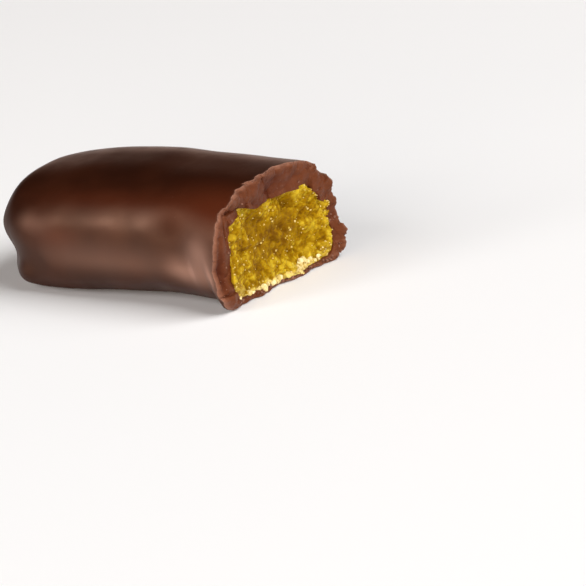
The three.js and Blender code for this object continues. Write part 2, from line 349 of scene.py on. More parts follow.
def skinPoint(x, angle):
    x, angle = np.broadcast_arrays(np.asarray(x, float), np.asarray(angle, float))
    nudge = 1e-3
    here = plainSkin(x, angle)
    turned = plainSkin(x, angle + nudge) - plainSkin(x, angle - nudge)
    moved = plainSkin(x + nudge, angle) - plainSkin(x - nudge, angle)
    outward = np.cross(turned, moved)
    outward = outward / np.maximum(np.linalg.norm(outward, axis=-1, keepdims=True), 1e-12)
    clear = easedStep(here[..., 2])  # nothing stands out of the flat underside
    here = here + outward * (skinRelief(x, angle) * clear)[..., None]
    here[..., 2] = np.maximum(here[..., 2], 0)
    return here


def skinMarks(points, x, angle):  # where the skin has painted red light, painted highlights and shade, is smoother or dull
    marks = {name: np.zeros(len(points)) for name in ("paintedRedLight", "paintedLight", "smooth", "dull")}
    for name, mark in marks.items():
        for patch in shell[name]:
            mark += softPatch(x, angle, *patch)
    marks["dull"] = np.maximum(marks["dull"], 1 - easedStep(points[:, 2] / shell["foot"]))
    return marks


def breakSheet(y, z):
    off = y - shell["axisY"]
    plane = shell["breakX"] + shell["breakSlant"] * off + shell["breakBow"] * off * off
    return plane - shell["breakLean"] * (z - shell["breakMidZ"]) + facets(y, z, shell["coarseFacets"])


def calmness(angle):
    middle, width, share = shell["calm"]
    return share * nearAngle(angle, middle, width)


def rimChip(angle):
    chip = bumpsRound(angle, shell["rimChips"])
    for middle, width, height in shell["rimSteps"]:
        fall = (middle - angle / degree) % 360 / width
        chip = chip + height * np.maximum(1 - fall, 0)
    for columns, depth, seed in shell["rimNicks"]:
        around = angle / fullTurn % 1 * columns
        k = np.floor(around)
        here, after = chance(k, 0, seed), chance((k + 1) % columns, 0, seed)
        chip = chip + depth * (1 - calmness(angle)) * (here + (after - here) * (around - k))
    return chip


def chocolateRelief(y, z):  # the broken chocolate's own relief, and how far each point stands out, which sets the break's painted light and shade
    turn = shell["chipTurn"]
    flake = lumps(y, z, shell["flakes"])[0]
    chip = lumps(y + turn * z, z - turn * y, shell["chips"])[0]
    crumb = lumps(y, z, shell["crumb"])[0]
    relief = facets(y, z, shell["fineFacets"]) + flake + chip + crumb
    (flakeLevel, flakeSpread), (chipLevel, chipSpread) = shell["flakeRidge"], shell["chipRidge"]
    return relief, (flake + flakeLevel) / flakeSpread + (chip + crumb + chipLevel) / chipSpread


def rimStation(angle):  # the skin is followed until it meets the broken surface
    x = np.full(np.shape(angle), shell["breakX"])
    for _ in range(shell["rimSearches"]):
        p = skinPoint(x, angle)
        y, z = p[..., 1], p[..., 2]
        x = breakSheet(y, z) + (1 - calmness(angle)) * chocolateRelief(y, z)[0] + rimChip(angle)
    return x


def corePoint(x, angle, grow):  # grow widens the outline
    x, angle = np.broadcast_arrays(np.asarray(x, float), np.asarray(angle, float))
    end = rounding(x, coreTip, core["rounding"])
    reach = {
        "near": (guide(shell["nearReach"], x) - core["nearCoat"] + grow) * end,
        "far": (guide(shell["farReach"], x) - core["farCoat"] + grow) * end,
        "up": (guide(shell["crestHeight"], x) - core["topCoat"] + grow - core["axisZ"]) * end,
        "down": (core["axisZ"] - core["floorCoat"] + grow) * end,
    }
    across, rise = corner(angle, reach, core["squareness"])
    away = np.maximum(np.hypot(across, rise), 1e-6)
    notched = easedStep((x - core["notchStart"]) / core["notchLength"])
    scale = 1 + bumpsRound(angle, core["notches"]) * notched / away
    z = np.maximum(core["axisZ"] + rise * scale, core["floorCoat"] * core["thinFloor"] - grow)
    return np.stack([x, shell["axisY"] + across * scale, z], -1)


def coreEnd(turn, share, grow):  # the loops that close its hidden end
    length, fullness = core["rounding"]
    return corePoint(coreTip + length * share ** fullness, turn, grow), {}


def intoScene(name, data):
    thing = bpy.data.objects.new(name, data)
    bpy.context.scene.collection.objects.link(thing)
    return thing


def addMark(mesh, name, values):
    layer = mesh.attributes.new(name, "FLOAT", "POINT")
    layer.data.foreach_set("value", values.astype(np.float32))


class Draft:  # a mesh in the making, in millimetres
    def __init__(self, *marks):
        self.points, self.faces, self.finishes = [], [], []
        self.marks = {name: [] for name in marks}
        self.count = 0
        self.last = None

    def add(self, points, **marks):
        first = self.count
        self.points.append(points)
        for name, kept in self.marks.items():
            kept.append(np.broadcast_to(marks.get(name, 0.0), len(points)))
        self.count += len(points)
        return first

    def addFaces(self, corners, finish):
        self.faces += corners.tolist()
        self.finishes.append(np.full(len(corners), finish))

    # The faces between two rings, where one may have several times the points of the other.
    def join(self, first, firstSides, second, secondSides, finish=0):
        if firstSides == secondSides:
            k = np.arange(firstSides)
            after = (k + 1) % firstSides
            self.addFaces(np.stack([first + k, first + after, second + after, second + k], -1), finish)
            return
        outwards = firstSides > secondSides
        fine, fineSides = (first, firstSides) if outwards else (second, secondSides)
        coarse, coarseSides = (second, secondSides) if outwards else (first, firstSides)
        step = fineSides // coarseSides
        k = np.arange(fineSides)
        tip = (k // step + (k % step >= step // 2)) % coarseSides
        fans = np.stack([fine + k, fine + (k + 1) % fineSides, coarse + tip], -1)
        m = np.arange(coarseSides)
        middle = m * step + step // 2
        wedges = np.stack([fine + middle, coarse + (m + 1) % coarseSides, coarse + m], -1)
        corners = np.concatenate([fans, wedges])
        self.addFaces(corners if outwards else corners[:, ::-1], finish)

    # Adds a ring and joins it to the one before.
    def ring(self, points, finish=0, **marks):
        before = self.last
        self.last = (self.add(points, **marks), len(points))
        if before:
            self.join(*before, *self.last, finish)

    # Closes a ring with a square grid pulled out to its shape: pointAt places the loops inside.
    def cap(self, edge, outwards, pointAt, finish=0):
        ring, sides = edge
        half = sides // 8
        line = np.arange(-half, half + 1)
        i, j = np.meshgrid(line, line, indexing="ij")
        loop = np.maximum(np.abs(i), np.abs(j))
        farEdge = (i == loop) & (np.abs(j) < loop)
        rest = np.where(j == loop, 2 * loop - i, np.where(i == -loop, 4 * loop - j, 6 * loop + i))
        steps = np.where(farEdge, np.where(j < 0, 8 * loop + j, j), rest)
        inner = loop < half
        index = ring + steps
        index[inner] = self.count + np.arange(inner.sum())
        turn = steps[inner] / (8 * np.maximum(loop[inner], 1)) * fullTurn
        points, marks = pointAt(turn, loop[inner] / half)
        self.add(points, **marks)
        a, b, c, d = index[:-1, :-1], index[1:, :-1], index[1:, 1:], index[:-1, 1:]
        corners = np.stack([a, b, c, d] if outwards else [a, d, c, b], -1).reshape(-1, 4)
        self.addFaces(corners, finish)

    def build(self, name, materials, sharpAngle):
        mesh = bpy.data.meshes.new(name)
        mesh.from_pydata((np.concatenate(self.points) * milli).tolist(), [], self.faces)
        for mark, kept in self.marks.items():
            addMark(mesh, mark, np.concatenate(kept))
        for material in materials:
            mesh.materials.append(material)
        mesh.polygons.foreach_set("material_index", np.concatenate(self.finishes).astype(np.int32))
        mesh.shade_smooth()
        mesh.set_sharp_from_angle(angle=sharpAngle * degree)
        mesh.validate()
        return intoScene(name, mesh)


def ringAngles(sides):
    return np.arange(sides) / sides * fullTurn


def boreMouth(angle):
    flat = corePoint(shell["breakX"], angle, 0)
    y, z = flat[..., 1], flat[..., 2]
    return corePoint(breakSheet(y, z) + chocolateRelief(y, z)[0], angle, 0)


def brokenBand(angle, share):  # the broken chocolate between the rim and the bore's mouth
    outer, inner = skinPoint(rimStation(angle), angle), boreMouth(angle)
    p = outer + (inner - outer) * np.reshape(share, (-1, 1))
    fromRim = share * np.hypot(outer[:, 1] - inner[:, 1], outer[:, 2] - inner[:, 2])
    onNearSide = nearAngle(angle, *shell["grooveAngles"])
    groove = np.exp(-((share - shell["grooveShare"]) / shell["grooveWidth"]) ** 2)
    bevel = np.clip(1 - fromRim / shell["bevelWidth"], 0, 1) ** 2
    midway = 4 * share * (1 - share)
    relief, paintedShading = chocolateRelief(p[:, 1], p[:, 2])
    inside = easedStep((1 - share) * shell["reliefFade"])  # the bore's mouth keeps the full relief
    p[:, 0] = breakSheet(p[:, 1], p[:, 2]) + relief * (1 - calmness(angle) * inside)
    p[:, 0] += rimChip(angle) * np.maximum(1 - share * shell["chipFade"], 0)
    p[:, 0] -= shell["grooveDepth"] * onNearSide * groove * midway
    p[:, 0] += shell["bevelDepth"] * (1 - bevel) * (1 - share) * easedStep(share * shell["reliefFade"])
    shaded = nearAngle(angle, *shell["shadeAngles"]) * easedStep(share * shell["shadeFade"])
    rimLightStrength, reach = shell["paintedRimLight"]
    # painted shade in the near side's groove and over the ginger, and painted light just inside the rim
    paintedShading = paintedShading - shell["grooveShade"] * onNearSide * groove - shell["shade"] * shaded
    paintedShading = paintedShading + rimLightStrength * np.exp(-fromRim / reach)
    return p, {"edge": np.exp(-fromRim / shell["edgeWearAndSheen"]), "paintedShading": paintedShading}


def makeShell(materials):
    draft = Draft("edge", "paintedShading", "paintedRedLight", "paintedLight", "smooth", "dull")
    angle, rimAngle, boreAngle = (ringAngles(shell[name]) for name in ("skinSides", "rimSides", "boreSides"))
    capEnd = shellTip + shell["capLength"]

    def endCap(turn, share):
        x = shellTip + shell["capLength"] * share ** shell["capGrowth"]
        points = skinPoint(x, turn)
        return points, skinMarks(points, x, turn)

    draft.ring(endCap(angle, 1.0)[0])
    toRim = rimStation(angle) - shell["rimLength"]
    for r in range(1, shell["skinRings"] + 1):
        x = capEnd + (toRim - capEnd) * r / shell["skinRings"]
        points = skinPoint(x, angle)
        draft.ring(points, **skinMarks(points, x, angle))
    rim = rimStation(rimAngle)
    for r in range(1, shell["rimRings"] + 1):
        left = shell["rimLength"] * (1 - r / shell["rimRings"]) ** shell["rimSpacing"]
        points = skinPoint(rim - left, rimAngle)
        # the skin's paler edge at the rim: partly wear, partly a painted edge highlight
        draft.ring(points, edge=np.exp(-left / shell["skinWearAndSheen"]), **skinMarks(points, rim - left, rimAngle))
    for r in range(1, shell["bandRings"] + 1):
        points, marks = brokenBand(rimAngle, r / shell["bandRings"])
        draft.ring(points, finish=1, **marks)
    shoulder = coreTip + core["rounding"][0]
    mouth = boreMouth(boreAngle)[:, 0]
    for r in range(1, shell["boreRings"] + 1):
        x = mouth + (shoulder - mouth) * r / shell["boreRings"]
        draft.ring(corePoint(x, boreAngle, 0), finish=1)
    draft.cap((0, shell["skinSides"]), False, endCap)
    draft.cap(draft.last, True, lambda turn, share: coreEnd(turn, share, 0), finish=1)
    return draft.build("chocolate_shell", materials, shell["sharpAngle"])


def gingerFace(angle, share):  # the ginger's broken face, share of the way out from its middle
    frayed = core["frayed"]
    fray = waves(share * frayed["inwards"], angle, frayed)
    edge = corePoint(shell["breakX"], angle, core["overlap"])
    away = edge[:, 1:] - [shell["axisY"], core["axisZ"]]
    reach = 1 + fray / np.linalg.norm(away, axis=-1)
    yz = away * (share * (1 + (reach - 1) * share ** frayed["fade"]))[:, None]
    y, z = shell["axisY"] + yz[:, 0], core["axisZ"] + yz[:, 1]
    clod, clodTone = lumps(y, z, core["clods"])
    coarse, coarseTone = lumps(y, z, core["grains"])
    spark, sparkTone = lumps(y, z, core["sparks"])
    grainy = facets(y, z, core["coarseGrain"]) + facets(y, z, core["fineGrain"])
    dish = core["lip"] - (core["hollow"] + core["lip"]) * (1 - share * share)
    least, calmReach, calmFade = core["calmMiddle"]
    rough = least + (1 - least) * easedStep((share - calmReach) / calmFade)
    x = breakSheet(y, z) + dish + grainy + rough * (clod + coarse + spark)
    clodShare, coarseShare, sparkShare = core["tones"]
    tone = clodShare * clodTone + coarseShare * coarseTone + sparkShare * sparkTone
    level, spread = core["standing"]
    # painted light on the lumps' tops and painted shade in the creases between them
    stands = (clod + coarse + spark + level) / spread
    crust = core["crust"]
    sugared = nearAngle(angle, *crust["angles"])
    sugared = sugared * easedStep((share + crust["fray"] * coarseTone - crust["start"]) / crust["fade"])
    sugared = sugared * easedStep(crust["cover"] + crust["gaps"] * clodTone)
    # painted light, growing towards the face's rim and towards one side
    side = core["paintedFaceLight"]
    paintedFaceLight = share * (side["level"] + side["swing"] * np.cos(angle - side["angle"] * degree))
    for middle, width, strength in core["paintedLightCorners"]:
        paintedFaceLight = paintedFaceLight + strength * share * nearAngle(angle, middle, width)
    return np.stack([x, y, z], -1), {"tone": tone, "stands": stands, "paintedFaceLight": paintedFaceLight, "sugared": sugared}


def makeCore(material):
    draft = Draft("tone", "stands", "paintedFaceLight", "sugared")
    sides, hiddenSides, grow = core["sides"], core["hiddenSides"], core["overlap"]
    faceAngle, hiddenAngle = ringAngles(sides), ringAngles(hiddenSides)
    shoulder = coreTip + core["rounding"][0]
    draft.ring(coreEnd(hiddenAngle, 1.0, grow)[0])
    edgePoints, edgeMarks = gingerFace(faceAngle, np.ones(sides))
    edgeBack = edgePoints[:, 0] - core["edgeLength"]
    for r in range(1, core["sideRings"] + 1):
        x = shoulder + (edgeBack[:: sides // hiddenSides] - shoulder) * r / core["sideRings"]
        draft.ring(corePoint(x, hiddenAngle, grow))
    back = corePoint(edgeBack, faceAngle, grow)
    for r in range(1, core["edgeRings"] + 1):
        share = r / core["edgeRings"]
        marks = {name: mark * share for name, mark in edgeMarks.items()}
        draft.ring(back + (edgePoints - back) * share, **marks)
    draft.cap((0, hiddenSides), False, lambda turn, share: coreEnd(turn, share, grow))
    draft.cap(draft.last, True, gingerFace)
    return draft.build("ginger_filling", [material], core["sharpAngle"])


# Shader nodes, and the groups of them that more than one material uses.

def feed(tree, socket, value):  # with a constant or with another node's output
    if isinstance(value, bpy.types.NodeSocket):
        tree.links.new(value, socket)
    else:
        socket.default_value = value


def addNode(tree, kind, values, **settings):
    node = tree.nodes.new("ShaderNode" + kind)
    for name, value in settings.items():
        setattr(node, name, value)
    for label, value in values.items():
        feed(tree, node.inputs[label], value)
    return node.outputs


def mathNode(tree, operation, *values):
    return addNode(tree, "Math", dict(enumerate(values)), operation=operation)["Value"]


def times(tree, first, second):
    return mathNode(tree, "MULTIPLY", first, second)


def plus(tree, first, second):
    return mathNode(tree, "ADD", first, second)


def newGroup(name, inputs, output):
    group = bpy.data.node_groups.new(name, "ShaderNodeTree")
    for label, value in inputs.items():
        socket = group.interface.new_socket(label, in_out="INPUT", socket_type="NodeSocketFloat")
        socket.default_value = value
    group.interface.new_socket(output, in_out="OUTPUT", socket_type="NodeSocketFloat")
    given, result = group.nodes.new("NodeGroupInput"), group.nodes.new("NodeGroupOutput")
    return group, given.outputs, result.inputs[output]


def inSteps(tree, size):  # the object's own coordinates, with one step for each size in millimetres
    metres = addNode(tree, "TexCoord", {})["Object"]
    inMillimetres = addNode(tree, "VectorMath", {0: metres, "Scale": 1 / milli}, operation="SCALE")
    return addNode(tree, "VectorMath", {0: inMillimetres["Vector"], 1: size}, operation="DIVIDE")["Vector"]


def makeMottle():  # soft patches: 0 under Low and 1 over High
    group, given, result = newGroup("mottle", {"Size": 1, "Detail": 2, "Low": 0.3, "High": 0.7}, "Mask")
    steps = inSteps(group, given["Size"])
    noise = addNode(group, "TexNoise", {"Vector": steps, "Scale": 1, "Detail": given["Detail"]})
    spread = {"Value": noise["Fac"], "From Min": given["Low"], "From Max": given["High"]}
    feed(group, result, addNode(group, "MapRange", spread, interpolation_type="SMOOTHSTEP")["Result"])
    return group


def makeGrain():  # a grainy height: rough noise with small round grains in it
    group, given, result = newGroup("grain", {"Size": 0.3, "Grains": 0.5}, "Height")
    steps = inSteps(group, given["Size"])
    noise = addNode(group, "TexNoise", {"Vector": steps, "Scale": 1, "Detail": 4})
    cells = addNode(group, "TexVoronoi", {"Vector": steps, "Scale": 1}, feature="SMOOTH_F1")
    both = {"Factor": given["Grains"], "A": noise["Fac"], "B": cells["Distance"]}
    feed(group, result, addNode(group, "Mix", both, data_type="FLOAT")["Result"])
    return group


def makeSpeckle():  # sparse small round specks
    group, given, result = newGroup("speckle", {"Size": 0.5, "Share": 0.1, "Radius": 0.3}, "Mask")
    cells = addNode(group, "TexVoronoi", {"Vector": inSteps(group, given["Size"]), "Scale": 1})
    fade = {"Value": cells["Distance"], "From Min": 0, "From Max": given["Radius"], "To Min": 1, "To Max": 0}
    inside = addNode(group, "MapRange", fade, interpolation_type="SMOOTHSTEP")["Result"]
    number = addNode(group, "SeparateColor", {"Color": cells["Color"]})["Red"]
    feed(group, result, times(group, inside, mathNode(group, "LESS_THAN", number, given["Share"])))
    return group


mottle, grain, speckle = makeMottle(), makeGrain(), makeSpeckle()
print("node groups made")


def newMaterial(name, constants):
    material = bpy.data.materials.new(name)
    material.use_nodes = True
    shader = material.node_tree.nodes["Principled BSDF"].inputs
    for label, value in constants.items():
        shader[label].default_value = value
    return material, material.node_tree, shader


def useGroup(tree, group, **values):
    return addNode(tree, "Group", values, node_tree=group)[0]


def attribute(tree, name):
    return addNode(tree, "Attribute", {}, attribute_name=name)["Fac"]


def mixColours(tree, mask, *colours):  # each a colour or a node's output
    first, second = ((*colour, 1) if isinstance(colour, tuple) else colour for colour in colours)
    return addNode(tree, "Mix", {"Factor": mask, 6: first, 7: second}, data_type="RGBA")[2]


def spreadOut(tree, value, low, high, toLow=0.0, toHigh=1.0):
    ends = {"Value": value, "From Min": low, "From Max": high, "To Min": toLow, "To Max": toHigh}
    return addNode(tree, "MapRange", ends)["Result"]


def roughen(tree, shader, mask, finish):
    feed(tree, shader["Roughness"], spreadOut(tree, mask, 0, 1, *finish["roughness"]))


def bump(tree, shader, finish):
    height = useGroup(tree, grain, **finish["grain"])
    relief = {"Height": height, "Strength": finish["bumpStrength"], "Distance": finish["bumpDepth"] * milli}
    feed(tree, shader["Normal"], addNode(tree, "Bump", relief)["Normal"])


skinFinish = {
    "dark": (0.017, 0.0042, 0.0019),
    "warm": (0.026, 0.0066, 0.0028),
    # colour of the painted red light
    "paintedRedLight": (0.060, 0.0125, 0.0045),
    # colour of the painted highlights and reflections
    "paintedLight": (0.21, 0.115, 0.085),
    # colour of the paler edge and the specks, partly wear and partly a painted edge highlight
    "wornAndSheen": (0.11, 0.050, 0.033),
    "shader": {"IOR": 1.41, "Specular Tint": (1.0, 0.54, 0.34, 1.0)},
    "edgeSharpness": 3.0,
    "speckStrength": 0.7,
    "roughness": (0.33, 0.40),
    "dullRoughness": 0.5,  # added where the skin is dull, or smooth
    "smoothRoughness": -0.05,
    "grain": {"Size": 0.5, "Grains": 0.2},
    "bumpStrength": 0.35,
    "bumpDepth": 0.004,
}


def makeSkinMaterial():
    finish = skinFinish
    material, tree, shader = newMaterial("darkChocolateSkin", finish["shader"])
    patches = useGroup(tree, mottle, Size=4.5, Detail=2, Low=0.35, High=0.7)
    colour = mixColours(tree, patches, finish["dark"], finish["warm"])
    # painted red light and painted highlights, reflections and shade are mixed into the base colour
    for mark in ("paintedRedLight", "paintedLight"):
        colour = mixColours(tree, attribute(tree, mark), colour, finish[mark])
    # the paler edge, partly wear and partly a painted highlight, and light specks
    edge = mathNode(tree, "POWER", attribute(tree, "edge"), finish["edgeSharpness"])
    specks = times(tree, useGroup(tree, speckle, Size=0.9, Share=0.10, Radius=0.10), finish["speckStrength"])
    wearAndSheen = mathNode(tree, "MAXIMUM", edge, specks)
    feed(tree, shader["Base Color"], mixColours(tree, wearAndSheen, colour, finish["wornAndSheen"]))
    satin = useGroup(tree, mottle, Size=1.6, Detail=4, Low=0.3, High=0.75)
    rough = spreadOut(tree, satin, 0, 1, *finish["roughness"])
    for mark in ("dull", "smooth"):
        rough = mathNode(tree, "MULTIPLY_ADD", attribute(tree, mark), finish[mark + "Roughness"], rough)
    feed(tree, shader["Roughness"], rough)
    bump(tree, shader, finish)
    return material


breakFinish = {
    "deep": (0.052, 0.0075, 0.0020),
    "pale": (0.106, 0.028, 0.010),
    # colour of the break's paler edge, partly wear and partly a painted edge highlight; the crumbs use it too
    "edge": (0.25, 0.125, 0.085),
    "shader": {"IOR": 1.4, "Specular Tint": (1.0, 0.47, 0.28, 1.0)},
    "patchStrength": 0.35,
    "shadingRange": (-0.6, 2.2),  # range of the painted shading, from the deepest shade to the palest light
    "speckStrength": 0.35,
    "roughness": (0.4, 0.55),
    "grain": {"Size": 0.22, "Grains": 0.5},
    "bumpStrength": 0.6,
    "bumpDepth": 0.012,
}


def makeBreakMaterial():
    finish = breakFinish
    material, tree, shader = newMaterial("brokenChocolate", finish["shader"])
    patches = times(tree, useGroup(tree, mottle, Size=1.6, Detail=3), finish["patchStrength"])
    # painted light on the raised flakes and chips and painted shade in the hollows, the groove and over the
    # ginger, with a little random tone
    paintedShading = spreadOut(tree, plus(tree, attribute(tree, "paintedShading"), patches), *finish["shadingRange"])
    colour = mixColours(tree, paintedShading, finish["deep"], finish["pale"])
    specks = times(tree, useGroup(tree, speckle, Size=0.35, Share=0.12, Radius=0.35), finish["speckStrength"])
    wearAndSheen = mathNode(tree, "MAXIMUM", attribute(tree, "edge"), specks)
    feed(tree, shader["Base Color"], mixColours(tree, wearAndSheen, colour, finish["edge"]))
    roughen(tree, shader, useGroup(tree, mottle, Size=0.6, Detail=3), finish)
    bump(tree, shader, finish)
    return material


gingerFinish = {
    "shade": (0.092, 0.034, 0.0003),
    "amber": (0.155, 0.066, 0.0006),
    "gold": (0.295, 0.160, 0.0012),
    "straw": (0.56, 0.39, 0.022),
    "cream": (0.82, 0.66, 0.21),
    "shader": {
        "IOR": 1.3,
        "Specular Tint": (1.0, 0.62, 0.08, 1.0),
        "Subsurface Weight": 0.2,
        "Subsurface Scale": 0.5 * milli,
        "Subsurface Radius": (1.0, 0.6, 0.08),  # red light goes farthest
    },
    "paintedFaceLight": (0.15, 0.9, -0.12, 0.5),  # the painted light's range, and what it adds to the brightness
    "patchStrength": 0.3,
    "toneStrength": 0.45,
    "stands": (-1.2, 1.2, -0.25, 0.35),
    "colours": [("amber", -0.4, 0.15), ("gold", 0.1, 0.7), ("straw", 0.65, 1.2)],  # by brightness
    "crust": (0.1, 0.8, 0.35, 1.0),
    "speckStrength": 0.5,
    "roughness": (0.5, 0.75),
    "grain": {"Size": 0.16, "Grains": 0.6},
    "bumpStrength": 0.6,
    "bumpDepth": 0.03,
}


def makeGingerMaterial():
    finish = gingerFinish
    material, tree, shader = newMaterial("crystallisedGinger", finish["shader"])
    paintedFaceLight = spreadOut(tree, attribute(tree, "paintedFaceLight"), *finish["paintedFaceLight"])
    patches = useGroup(tree, mottle, Size=1.4, Detail=4, Low=0.35, High=0.65)
    tone = times(tree, attribute(tree, "tone"), finish["toneStrength"])
    stands = spreadOut(tree, attribute(tree, "stands"), *finish["stands"])
    # the painted light of the rim and the lumps and the painted shade of the creases join the ginger's own
    # tone and patches
    bright = plus(tree, paintedFaceLight, times(tree, patches, finish["patchStrength"]))
    bright = plus(tree, bright, plus(tree, tone, stands))
    colour = finish["shade"]
    for name, low, high in finish["colours"]:
        colour = mixColours(tree, spreadOut(tree, bright, low, high), colour, finish[name])
    crust = times(tree, attribute(tree, "sugared"), spreadOut(tree, bright, *finish["crust"]))
    colour = mixColours(tree, crust, colour, finish["cream"])
    specks = times(tree, useGroup(tree, speckle, Size=0.3, Share=0.05, Radius=0.2), finish["speckStrength"])
    feed(tree, shader["Base Color"], mixColours(tree, specks, colour, finish["straw"]))
    roughen(tree, shader, useGroup(tree, mottle, Size=0.5, Detail=3), finish)
    bump(tree, shader, finish)
    return material


sugarFinish = {
    "golden": (0.54, 0.36, 0.022),
    "white": (0.92, 0.80, 0.42),
    "shader": {"IOR": 1.54},
    "patchStrength": 0.2,
    "roughness": (0.5, 0.25),  # between the glints, and at them
}


def makeSugarMaterial():
    finish = sugarFinish
    material, tree, shader = newMaterial("sugarCrystal", finish["shader"])
    clouded = times(tree, useGroup(tree, mottle, Size=0.3, Detail=2), finish["patchStrength"])
    tint = plus(tree, attribute(tree, "tone"), clouded)
    feed(tree, shader["Base Color"], mixColours(tree, tint, finish["golden"], finish["white"]))
    roughen(tree, shader, useGroup(tree, speckle, Size=0.2, Share=0.5, Radius=0.5), finish)
    return material


crumbFinish = {
    "shader": {"IOR": 1.46, "Specular Tint": breakFinish["shader"]["Specular Tint"]},
    "patchStrength": 0.4,
    "toneStrength": 0.7,
    "roughness": (0.35, 0.6),
    "grain": {"Size": 0.1, "Grains": 0.4},
    "bumpStrength": 0.5,
    "bumpDepth": 0.01,
}


def makeCrumbMaterial():
    finish = crumbFinish
    material, tree, shader = newMaterial("chocolateCrumb", finish["shader"])
    uneven = times(tree, useGroup(tree, mottle, Size=0.2, Detail=3), finish["patchStrength"])
    shade = plus(tree, times(tree, attribute(tree, "tone"), finish["toneStrength"]), uneven)
    feed(tree, shader["Base Color"], mixColours(tree, shade, breakFinish["deep"], breakFinish["edge"]))
    roughen(tree, shader, useGroup(tree, mottle, Size=0.3, Detail=2), finish)
    bump(tree, shader, finish)
    return material


skinMaterial, breakMaterial = makeSkinMaterial(), makeBreakMaterial()
gingerMaterial, sugarMaterial, crumbMaterial = makeGingerMaterial(), makeSugarMaterial(), makeCrumbMaterial()
print("materials made")

chocolateShell = makeShell([skinMaterial, breakMaterial])
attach(chocolateShell, "root")
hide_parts("chocolate_coat")
print("chocolate shell:", len(chocolateShell.data.loop_triangles), "triangles")

gingerFilling = makeCore(gingerMaterial)
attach(gingerFilling, "root")
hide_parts("ginger_core")
print("ginger filling:", len(gingerFilling.data.loop_triangles), "triangles")


# Copies of one small form, turned and stretched at random and joined into one mesh.
def scatter(name, form, places, sizes, turns, tones, material):
    corners = np.array([v.co for v in form.verts])
    faces = [[v.index for v in face.verts] for face in form.faces]
    rotated = np.einsum("nij,nkj->nki", turns, corners[None] * sizes[:, None, :])
    points = (rotated + places[:, None, :]).reshape(-1, 3)
    joined = [[n * len(corners) + k for k in face] for n in range(len(places)) for face in faces]
    mesh = bpy.data.meshes.new(name)
    mesh.from_pydata((points * milli).tolist(), [], joined)
    addMark(mesh, "tone", np.repeat(tones, len(corners)))
    mesh.materials.append(material)
    form.free()
    return intoScene(name, mesh)


def randomSizes(draw, look, largest):
    count = len(largest)
    half = look["smallest"] + (largest - look["smallest"]) * draw.uniform(0, 1, count) ** look["smallness"]
    return half[:, None] * draw.uniform(*look["stretch"], (count, 3))


def randomTurns(draw, count):
    q = draw.normal(size=(count, 4))
    w, x, y, z = (q / np.linalg.norm(q, axis=1, keepdims=True)).T
    rows = [
        [1 - 2 * (y * y + z * z), 2 * (x * y - z * w), 2 * (x * z + y * w)],
        [2 * (x * y + z * w), 1 - 2 * (x * x + z * z), 2 * (y * z - x * w)],
        [2 * (x * z - y * w), 2 * (y * z + x * w), 1 - 2 * (x * x + y * y)],
    ]
    return np.array(rows).transpose(2, 0, 1)


sugar = {
    "loose": 150,  # crystals all over the face
    "rimmed": 110,  # crystals where it meets the chocolate
    "clumps": [  # angle, share of the way out, spread in degrees, crystals: along its bottom edge
        (266, 0.97, 4.0, 34), (244, 0.96, 5, 20), (253, 0.97, 6, 8), (291, 0.93, 6, 18),
        (298, 0.90, 5, 12), (284, 0.94, 6, 10), (306, 0.95, 6, 8), (232, 0.98, 4, 5),
        (222, 0.97, 4, 4), (318, 0.95, 6, 6),
    ],
    "rimDepth": 0.03,  # how far in from the edge the rimmed ones and the clumps spread
    "clumpDepth": 0.035,
    "looseTones": (0, 0.35),
    "rimmedTones": (0, 0.4),
    "clumpTones": (0.1, 1),
    "smallest": 0.03,  # half a crystal's width
    "largest": 0.09,
    "clumpLargest": 0.27,
    "smallness": 1.8,  # more makes more of them small
    "stretch": (0.7, 1.3),
    "bevel": 0.35,
    "clearance": 1.8,  # half widths between the floor and a crystal's middle
    "seed": 7,
}


def makeSugar():
    form = bmesh.new()
    bmesh.ops.create_cube(form, size=2)
    bmesh.ops.bevel(form, geom=form.edges[:], offset=sugar["bevel"], segments=1, affect="EDGES")
    form.verts.index_update()
    draw = np.random.default_rng(sugar["seed"])
    loose, rimmed = sugar["loose"], sugar["rimmed"]
    angles = [draw.uniform(0, 360, loose), draw.uniform(0, 360, rimmed)]
    shares = [np.sqrt(draw.uniform(0, 1, loose)), 1 - sugar["rimDepth"] * draw.uniform(0, 1, rimmed)]
    tones = [draw.uniform(*sugar["looseTones"], loose), draw.uniform(*sugar["rimmedTones"], rimmed)]
    largest = [np.full(loose + rimmed, sugar["largest"])]
    for angle, share, spread, count in sugar["clumps"]:
        angles.append(draw.normal(angle, spread / 2, count))
        shares.append(np.minimum(draw.normal(share, sugar["clumpDepth"], count), 1))
        tones.append(draw.uniform(*sugar["clumpTones"], count))
        largest.append(np.full(count, sugar["clumpLargest"]))
    points, _ = gingerFace(np.concatenate(angles) * degree, np.concatenate(shares))
    sizes = randomSizes(draw, sugar, np.concatenate(largest))
    points[:, 2] = np.maximum(points[:, 2], sizes.max(1) * sugar["clearance"])
    turns = randomTurns(draw, len(points))
    return scatter("sugar_crystals", form, points, sizes, turns, np.concatenate(tones), sugarMaterial)


sugarCrystals = makeSugar()
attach(sugarCrystals, "root")
print("sugar crystals made")

crumbs = {
    "groups": [  # angles, share of the way from the rim to the ginger, half the largest width, number
        ((222, 325), (0.12, 1.0), 0.22, 110),  # under the ginger
        ((0, 360), (0.12, 1.0), 0.22, 60),
        ((70, 152), (0.0, 0.07), 0.11, 70),  # small ones along the upper rim
    ],
    "smallest": 0.05,
    "smallness": 2.5,
    "stretch": ((0.5, 0.8, 0.4), (0.9, 1.5, 0.9)),
    "unevenness": (0.7, 1.25),
    "clearance": 1.3,
    "seed": 19,
}


